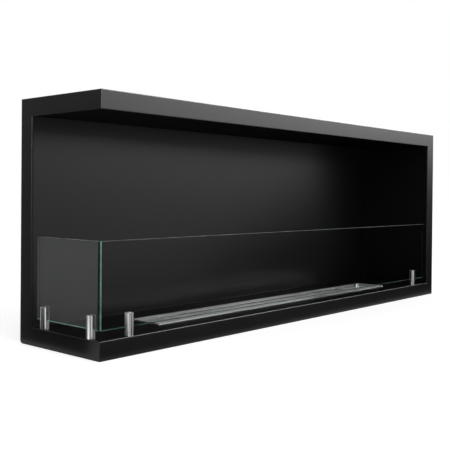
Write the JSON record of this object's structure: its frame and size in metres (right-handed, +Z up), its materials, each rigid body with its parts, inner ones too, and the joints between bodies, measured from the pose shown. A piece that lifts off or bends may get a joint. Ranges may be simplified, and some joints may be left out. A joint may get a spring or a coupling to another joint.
{
  "type": "bioethanol fireplace",
  "caption": "Black steel bioethanol fireplace, open at the front and on the left, with a long stainless burner let into its hearth, a sliding shutter and a low glass screen in round clips.",
  "frame": {"origin": "centre of the base, on the surface that the fireplace stands on", "axes": "+X to the right along the width, away from the open left end; +Y to the closed rear; +Z up"},
  "size_m": [1.2, 0.23, 0.45],
  "materials": {
    "coated_steel": "satin black heat-resistant powder coat",
    "galvanised_steel": "zinc coated",
    "brushed_stainless": "brushed",
    "polished_stainless": "polished",
    "float_glass": "clear, with polished green edges",
    "silicone": "matte",
    "ceramic_fibre": "loose matte fibre"
  },
  "bodies": {
    "casing": {"outer_casing": "coated_steel", "rear_cover": "coated_steel", "hearth_plate": "coated_steel", "ceiling_plate": "coated_steel", "rear_liner": "coated_steel", "right_liner": "coated_steel", "rear_channel_1": "galvanised_steel", "rear_channel_2": "galvanised_steel", "rear_channel_3": "galvanised_steel", "right_channel": "galvanised_steel", "top_channel_left": "galvanised_steel", "top_channel_right": "galvanised_steel", "hearth_channel_left": "galvanised_steel", "hearth_channel_right": "galvanised_steel", "cover_screw_1": "galvanised_steel", "cover_screw_2": "galvanised_steel", "cover_screw_3": "galvanised_steel", "cover_screw_4": "galvanised_steel", "cover_screw_5": "galvanised_steel", "cover_screw_6": "galvanised_steel", "cover_screw_7": "galvanised_steel", "cover_screw_8": "galvanised_steel", "cover_screw_9": "galvanised_steel", "glass_clip_front_left": "polished_stainless", "glass_clip_front_right": "polished_stainless", "glass_clip_left_front": "polished_stainless", "glass_clip_left_rear": "polished_stainless", "clip_pad_front_left": "silicone", "clip_pad_front_right": "silicone", "clip_pad_left_front": "silicone", "clip_pad_left_rear": "silicone", "clip_screw_front_left": "galvanised_steel", "clip_screw_front_right": "galvanised_steel", "clip_screw_left_front": "galvanised_steel", "clip_screw_left_rear": "galvanised_steel", "grub_screw_front_left": "galvanised_steel", "grub_screw_front_right": "galvanised_steel", "grub_screw_left_front": "galvanised_steel", "grub_screw_left_rear": "galvanised_steel", "spill_tray": "galvanised_steel"},
    "burner": {"fuel_tank": "brushed_stainless", "ceramic_wool": "ceramic_fibre", "burner_top_plate": "brushed_stainless", "plate_spacer_left": "brushed_stainless", "plate_spacer_right": "brushed_stainless", "plate_screw_left": "brushed_stainless", "plate_screw_right": "brushed_stainless"},
    "shutter": {"shutter_blade": "brushed_stainless", "guide_shoe": "brushed_stainless", "shutter_knob": "polished_stainless"},
    "front_pane": {"front_glass": "float_glass"},
    "left_pane": {"left_glass": "float_glass"}
  },
  "joints": [
    {"name": "burner_lift", "type": "slide", "parent": "casing", "child": "burner", "axis": [0, 0, 1], "range_m": [0, 0.08]},
    {"name": "shutter_slide", "type": "slide", "parent": "burner", "child": "shutter", "axis": [0.928, -0.3726, 0], "range_m": [-0.0355, 0.0355]},
    {"name": "front_pane_lift", "type": "slide", "parent": "casing", "child": "front_pane", "axis": [0, 0, 1], "range_m": [0, 0.06]},
    {"name": "left_pane_lift", "type": "slide", "parent": "casing", "child": "left_pane", "axis": [0, 0, 1], "range_m": [0, 0.06]}
  ]
}
